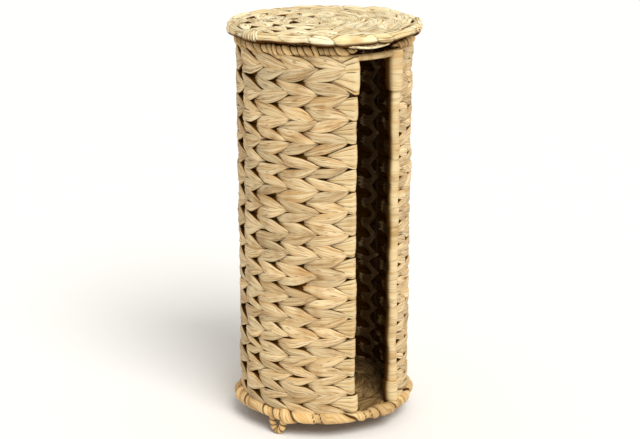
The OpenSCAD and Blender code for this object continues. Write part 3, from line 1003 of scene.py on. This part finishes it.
@dataclass
class SlitEdges:
    """The wraps round the two edge uprights and the rod that crosses the slit."""

    wall: Wall
    rows_per_wrap: int = 2
    thick: float = 1.2 * MM
    steps: int = 38
    sides: int = 72

    def build(self, trees: Trees, finish: Material, cane: Material) -> None:
        """Builds the wraps and the rod.

        Args:
            trees: the trees that make their strands.
            finish: the wraps' finish.
            cane: the rod's finish.
        """
        hoop = Hoop.of("top_hoop")
        bottom, first = self.wall.span(1)
        top = self.wall.span(self.wall.rows)[1]
        # Growth that gives the lowest row its measured part of the wall
        share, part = 1 / self.wall.rows, (first - bottom) / (top - bottom)
        growth = (share - part) / (part - share * share)
        # The left wraps open into wide pleated fans, and the right ones are shorter, stouter and smooth, with fainter
        # painted shade at their edges and painted shade that starts early where they turn inside
        stout = {"left": 1.0, "right": 1.1}
        looks = {"left": {"side": -1.0, "reach": 24 * MM, "pleat_depth": 0.26, "loose": 1.0 * MM},
                 "right": {"side": 1.0, "reach": 15 * MM, "pleats": 2.0, "pleat_depth": 0.05, "streak_share": 0.5,
                           "open": 0.89, "seam_shade": 0.6, "loose": 1.6 * MM, "dark_from": 0.11}}
        for name, look in looks.items():
            low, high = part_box(f"{name}_edge_binding")
            core = (high.x - low.x) / 2 - 1.5 * self.thick
            mesh = trees.wraps.make(
                finish, seed=700 + int(look["side"]), radius=hoop.radius, bottom=bottom, rise=top - bottom,
                angle=look["side"] * self.wall.edge_angle(), growth=growth, rows=float(self.wall.rows),
                rows_per_wrap=float(self.rows_per_wrap), wraps=self.wall.rows // self.rows_per_wrap,
                core=stout[name] * core, thick=self.thick, wander=self.wall.wander, steps=self.steps,
                sides=self.sides + 1, **look)
            piece(f"{name}_edge_wraps", [mesh], Part.BASKET, "strand", f"{name}_edge_binding")
        # The rod gets faint painted shade in its seams, and painted shade under it and on its inner side
        rod = trees.rolls.make(
            cane, seed=31, **asdict(hoop), **RING, turns=24.0, lobes=0.0, relief=0.05, seam=9.0, jitter=0.6,
            swell=0.0, shade=0.35, wander=0.2 * MM, steps=481, sides=17)
        piece("top_rod", [rod], Part.BASKET, "cane", "top_hoop")


@dataclass
class Rims:
    """The wrapped rolls at the top and the foot of the wall, and the feet."""

    wall: Wall
    border_turns: int = 74
    base_turns: int = 38
    points_per_turn: int = 12
    sides: int = 19
    foot_tube: float = 3.6 * MM
    foot_half_width: float = 7.4 * MM
    # How far the feet's strand is pressed flat on the floor
    foot_press: float = 0.5 * MM

    def build(self, trees: Trees, finish: Material) -> None:
        """Builds the rolls and the feet.

        Args:
            trees: the trees that make their strands.
            finish: their finish.
        """
        hoop, base = Hoop.of("top_hoop"), Hoop.of("base_roll")
        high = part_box("top_border")[1]
        tube = high.x - hoop.radius
        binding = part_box("right_edge_binding")
        start = self.wall.edge_angle() - (binding[1].x - binding[0].x) / 2 / hoop.radius
        # The border gets painted shade on its top, under the lid's rim
        border = trees.rolls.make(
            finish, seed=51, radius=hoop.radius, height=high.z - tube, tube=tube, start=start,
            sweep=FULL_TURN - 2 * start, turns=float(self.border_turns), relief=0.28, seam=4.0, jitter=2.6,
            lobes=2.0, swell=0.45, uneven=0.4, top_shade=0.85, wander=0.8 * MM,
            steps=self.border_turns * self.points_per_turn + 1, sides=self.sides)
        piece("top_border_roll", [border], Part.BASKET, "strand", "top_border")
        roll = trees.rolls.make(
            finish, seed=52, **asdict(base), **RING, turns=float(self.base_turns), relief=0.36, seam=4.5, jitter=2.3,
            swell=0.55, uneven=0.5, wander=0.8 * MM, steps=self.base_turns * self.points_per_turn + 1,
            sides=self.sides)
        piece("base_rim_roll", [roll], Part.BASKET, "strand", "base_roll")
        for name in ("left", "right", "rear"):
            self.foot(trees, finish, name)

    def foot(self, trees: Trees, finish: Material, name: str) -> None:
        """Builds one foot.

        Args:
            trees: the trees that make its strand.
            finish: its finish.
            name: which foot it is.
        """
        base = Hoop.of("base_hoop")
        low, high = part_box(f"{name}_foot")
        middle = (low + high) / 2
        mesh = trees.loops.make(
            finish, seed=61, radius=base.radius, angle=math.atan2(middle.x, -middle.y),
            half_width=self.foot_half_width, bend=self.foot_half_width + self.foot_tube - self.foot_press,
            top=base.height, tube=self.foot_tube, steps=97, sides=15)
        piece(f"{name}_foot_loop", [mesh], Part.BASKET, "strand", f"{name}_foot")


@dataclass
class Disc:
    """A flat disc of twined rings between a knot and a roll."""

    knot: str
    roll: str
    rings: int
    long_spokes: int = 8
    short_spoke_ring: int = 4
    points_per_bay: int = 14
    sides: int = 16
    half_core: float = 0.8 * MM

    def measures(self) -> tuple[float, float, float]:
        """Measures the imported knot: its radius, half of its thickness and its height."""
        low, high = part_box(self.knot)
        return (high.x - low.x) / 2, (high.z - low.z) / 2, (high.z + low.z) / 2

    def ring(self, trees: Trees, finish: Material, number: int) -> list[Mesh]:
        """Twines one ring, with a flat strand in its middle, partly in painted shade, that shows only in the holes of
        the weave.

        Args:
            trees: the trees that make its strands.
            finish: its finish.
            number: the ring's number, counted from the knot.

        Returns:
            The ring's meshes.
        """
        roll = Hoop.of(self.roll)
        inner, thick, _ = self.measures()
        width = (roll.radius - roll.tube - inner) / self.rings
        place = {"radius": inner + (number - 0.5) * width, "height": roll.height, **RING}
        bays = self.long_spokes * (1 if number < self.short_spoke_ring else 2)
        half_width = CORE_SHARE * width
        # Flat rings get painted shade only where they lie lowest, and in narrower lines along their edges
        ring = trees.twined.make(
            finish, seed=500 + 10 * number, **place, width=width, bays=bays, lean=1.0 if number % 2 else -1.0,
            flat=1.0, bulge=BULGE_SHARE * thick, depth=DEPTH_SHARE * thick, leaf=1.24, dark_below=0.12, outline=8.0,
            wander=1.1 * MM, steps=bays * self.points_per_bay + 1, sides=self.sides + 1)
        core = trees.rolls.make(
            finish, seed=number, **place, **CORE, tube=half_width, squash=self.half_core / half_width, shade=0.6,
            under_shade=0.0, inner_shade=0.0, steps=65)
        return [ring, core]

    def centre(self, trees: Trees, finish: Material) -> list[Mesh]:
        """Twines the knot in the middle.

        Args:
            trees: the trees that make its strands.
            finish: its finish.

        Returns:
            The knot's meshes.
        """
        radius, thick, height = self.measures()
        ring = trees.twined.make(
            finish, seed=91, radius=0.66 * radius, height=height, width=0.62 * radius, bays=8, **RING, flat=1.0,
            bulge=0.5 * thick, depth=DEPTH_SHARE * thick, wander=0.3 * MM, steps=81, sides=13)
        core = trees.rolls.make(
            finish, seed=92, radius=0.2 * radius, height=height, tube=0.26 * radius, **RING, turns=3.0, lobes=2.0,
            relief=0.2, squash=1.9, wander=0.2 * MM, steps=41, sides=17)
        return [ring, core]


@dataclass
class Lid:
    """The loose lid: twined rings, a thick roll round them and a locating hoop underneath."""

    disc: Disc
    wander: float = 2.0 * MM
    rim_turns: float = 19.0
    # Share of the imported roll's thickness that is left for its strands, as they swell
    rim_share: float = 0.87
    # Start and sweep in degrees, turns, and how far each binding stands out of the rim
    bindings: tuple[tuple[float, float, float, float], ...] = ((-91.0, 13.0, 6.0, 0.9 * MM),
                                                               (33.0, 4.5, 2.0, 0.8 * MM))
    under_turns: int = 66

    def build(self, trees: Trees, finish: Material) -> None:
        """Builds the lid.

        Args:
            trees: the trees that make its strands.
            finish: the lid's finish.
        """
        roll, rolls = Hoop.of("lid_roll"), trees.rolls
        for number in range(1, self.disc.rings + 1):
            piece(named_row("lid_weave", number), self.disc.ring(trees, finish, number), Part.LID, "lid_strand",
                  named_row("lid_ring", number))
        piece("lid_centre_knot", self.disc.centre(trees, finish), Part.LID, "lid_strand", "lid_knot")
        # The rim gets painted shade on its underside and on its inner side against the rings, and in its seams
        rim = rolls.make(
            finish, seed=81, radius=roll.radius, height=roll.height, tube=self.rim_share * roll.tube, **RING,
            turns=self.rim_turns, relief=0.20, seam=8.0, jitter=2.0, swell=0.35, uneven=0.9, lay=10.0, shade=0.75,
            under_shade=1.0, inner_shade=1.0, lengthwise=1.0, wander=self.wander, steps=457, sides=33)
        piece("lid_rim_roll", [rim], Part.LID, "lid_strand", "lid_roll")
        # The bindings get painted shade on their underside
        bindings = [rolls.make(
            finish, seed=82, radius=roll.radius, height=roll.height, tube=roll.tube + stout,
            start=math.radians(start), sweep=math.radians(sweep), turns=turns, relief=0.36, jitter=0.3, swell=0.1,
            under_shade=1.0, wander=self.wander, steps=91, sides=21) for start, sweep, turns, stout in self.bindings]
        piece("lid_rim_binding", bindings, Part.LID, "lid_strand")
        loose = rolls.make(
            finish, seed=84, radius=roll.radius + 2 * MM, height=roll.height - roll.tube + 0.8 * MM, tube=1.3 * MM,
            start=math.radians(-24), sweep=math.radians(28), sag=2.6 * MM, turns=1.0, lobes=2.0, wander=0.4 * MM,
            steps=61, sides=13)
        piece("lid_loose_strand", [loose], Part.LID, "lid_strand")
        under = rolls.make(
            finish, seed=83, **asdict(Hoop.of("lid_locating_hoop")), **RING, turns=float(self.under_turns),
            relief=0.2, jitter=0.5, wander=0.3 * MM, steps=self.under_turns * 7 + 1, sides=13)
        piece("lid_locating_roll", [under], Part.LID, "lid_strand", "lid_locating_hoop")


@dataclass
class Floor:
    """The woven floor of the basket."""

    disc: Disc

    def build(self, trees: Trees, finish: Material) -> None:
        """Builds the floor.

        Args:
            trees: the trees that make its strands.
            finish: the floor's finish.
        """
        rings = [mesh for number in range(1, self.disc.rings + 1) for mesh in self.disc.ring(trees, finish, number)]
        piece("floor_weave", rings, Part.BASKET, "strand", "base_weave")
        piece("floor_knot", self.disc.centre(trees, finish), Part.BASKET, "strand", "base_knot")


@dataclass
class WireFrame:
    """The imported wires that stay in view: uprights, hoops and spokes."""

    nodes: tuple[str, ...] = ("wall_stakes", "left_edge_stake", "right_edge_stake", "base_hoop", "base_spokes",
                              "lid_hoop", "lid_spokes")

    def dress(self, finish: Material) -> None:
        """Gives the wires their finish.

        Args:
            finish: painted wire.
        """
        for name in self.nodes:
            wire = frame["nodes"][name]
            wire.data.materials.clear()
            wire.data.materials.append(finish)
            log.info("%s: painted wire", name)


# ---- Studio ----


@dataclass(frozen=True)
class Studio:
    """The camera at the photograph's angle, a pale floor and soft light."""

    focal_px: float = 1508.7
    width_px: float = 640.0
    sensor_mm: float = 36.0
    distance: float = 1.4303
    height: float = 0.6218
    azimuth: float = math.radians(37.4)
    pitch: float = math.radians(16.51)
    yaw: float = 0.0027
    far: float = 40.0
    floor_size: float = 14.0
    # The lamp's direction, counted from the slit towards +X, and its angle over the floor
    sun_azimuth: float = math.radians(-10.0)
    sun_elevation: float = math.radians(49.0)
    # Angle that the lamp takes up in the sky, which makes its shadows soft
    sun_spread: float = math.radians(34.0)
    sun_strength: float = 2.34
    sun_colour: str = "#fffdfa"
    sky_strength: float = 0.57
    sky_colour: str = "#fffdf9"

    def camera(self) -> None:
        """Puts the camera where the photograph was taken from."""
        data = bpy.data.cameras.new("photo_camera")
        data.sensor_fit = "HORIZONTAL"
        data.sensor_width = self.sensor_mm
        data.lens = self.focal_px / self.width_px * self.sensor_mm
        data.clip_end = self.far
        camera = new_object("photo_camera", data)
        camera.location = (-self.distance * math.sin(self.azimuth), -self.distance * math.cos(self.azimuth),
                           self.height)
        camera.rotation_euler = (math.pi / 2 - self.pitch, 0.0, self.yaw - self.azimuth)
        bpy.context.scene.camera = camera

    def floor(self, finish: Material) -> None:
        """Lays the floor.

        Args:
            finish: the floor's finish.
        """
        half = self.floor_size / 2
        mesh = bpy.data.meshes.new("studio_floor")
        mesh.from_pydata([(-half, -half, 0), (half, -half, 0), (half, half, 0), (-half, half, 0)], [], [(0, 1, 2, 3)])
        mesh.materials.append(finish)
        new_object("studio_floor", mesh)

    def sun(self) -> None:
        """Hangs a distant lamp with soft shadows, which lights the whole floor evenly."""
        data = bpy.data.lights.new("key_light", "SUN")
        data.angle = self.sun_spread
        data.energy = self.sun_strength
        data.color = linear(self.sun_colour)[:3]
        flat = math.cos(self.sun_elevation)
        towards = Vector((flat * math.sin(self.sun_azimuth), -flat * math.cos(self.sun_azimuth),
                          math.sin(self.sun_elevation)))
        new_object("key_light", data).rotation_euler = towards.to_track_quat("Z", "Y").to_euler()

    def build(self, finish: Material) -> None:
        """Builds the studio.

        Args:
            finish: the floor's finish.
        """
        self.camera()
        self.floor(finish)
        self.sun()
        world = bpy.data.worlds.new("studio_world")
        world.use_nodes = True
        world.node_tree.nodes.clear()
        sky = add_node(world.node_tree, "ShaderNodeBackground", linear(self.sky_colour), self.sky_strength)
        add_node(world.node_tree, "ShaderNodeOutputWorld", sky)
        bpy.context.scene.world = world
        bpy.context.scene.view_settings.view_transform = "Standard"


def main() -> None:
    """Builds the basket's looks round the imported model."""
    logging.basicConfig(level=logging.INFO, format="%(name)s: %(message)s")
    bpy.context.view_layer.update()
    # The wall's stalks, dried in the sun: warm straw with brown stripes and age in patches
    strand = StrandFinish("twined_water_hyacinth").build()
    # The lid's stalks: paler and yellower, partly their own colour and partly painted light from above, with clear
    # honey-coloured pleat lines
    pale = StrandFinish("pale_water_hyacinth", light="#fff5cf", body="#edd196", ochre="#b58639", crease="#94661f",
                        crevice="#553006", creases=0.95, shade_from=0.40, dullest=0.88).build()
    # Stalks wound tightly round the rims: browner, with few pleats and wide painted shade in the seams between the
    # turns
    rim = StrandFinish("wrapped_water_hyacinth", light="#edcb92", body="#d2a867", ochre="#a06e30", crease="#875722",
                       crevice="#4a2a0a", creases=0.4, shade_from=0.32, shade_to=0.78).build()
    # Broad stalks folded round the slit's edges: even and light, where the folds do the work of the pleat lines
    pleated = StrandFinish("pleated_water_hyacinth", light="#e5cfa0", body="#d0ae76", creases=0.35,
                           patchiness=0.3, dullest=0.92, brightest=1.04).build()
    # Rattan cane, peeled and scraped smooth: an even tan with a faint grain and a soft shine
    cane = StrandFinish("peeled_rattan_cane", light="#e0c690", body="#c9a670", ochre="#a07a46", crease="#a5803f",
                        crevice="#5a3c1c", roughness=0.42, creases=0.2, patchiness=0.3, bump_mm=0.12).build()
    # The floor's stalks deep in the basket, darkened with painted shade: dull brown
    shaded = StrandFinish("shaded_floor_water_hyacinth", light="#c6a26c", body="#7c5c2d", ochre="#604218", crease="#4a2e0e",
                          crevice="#2c1605").build()

    trees = Trees()
    wall = Wall()
    wall.build(trees, strand)
    SlitEdges(wall).build(trees, pleated, cane)
    Rims(wall).build(trees, rim)
    Floor(Disc(knot="base_knot", roll="base_roll", rings=6)).build(trees, shaded)
    Lid(Disc(knot="lid_knot", roll="lid_roll", rings=7)).build(trees, pale)
    WireFrame().dress(WireFinish().build())
    Studio().build(FloorFinish().build())


if __name__ == "__main__":
    main()
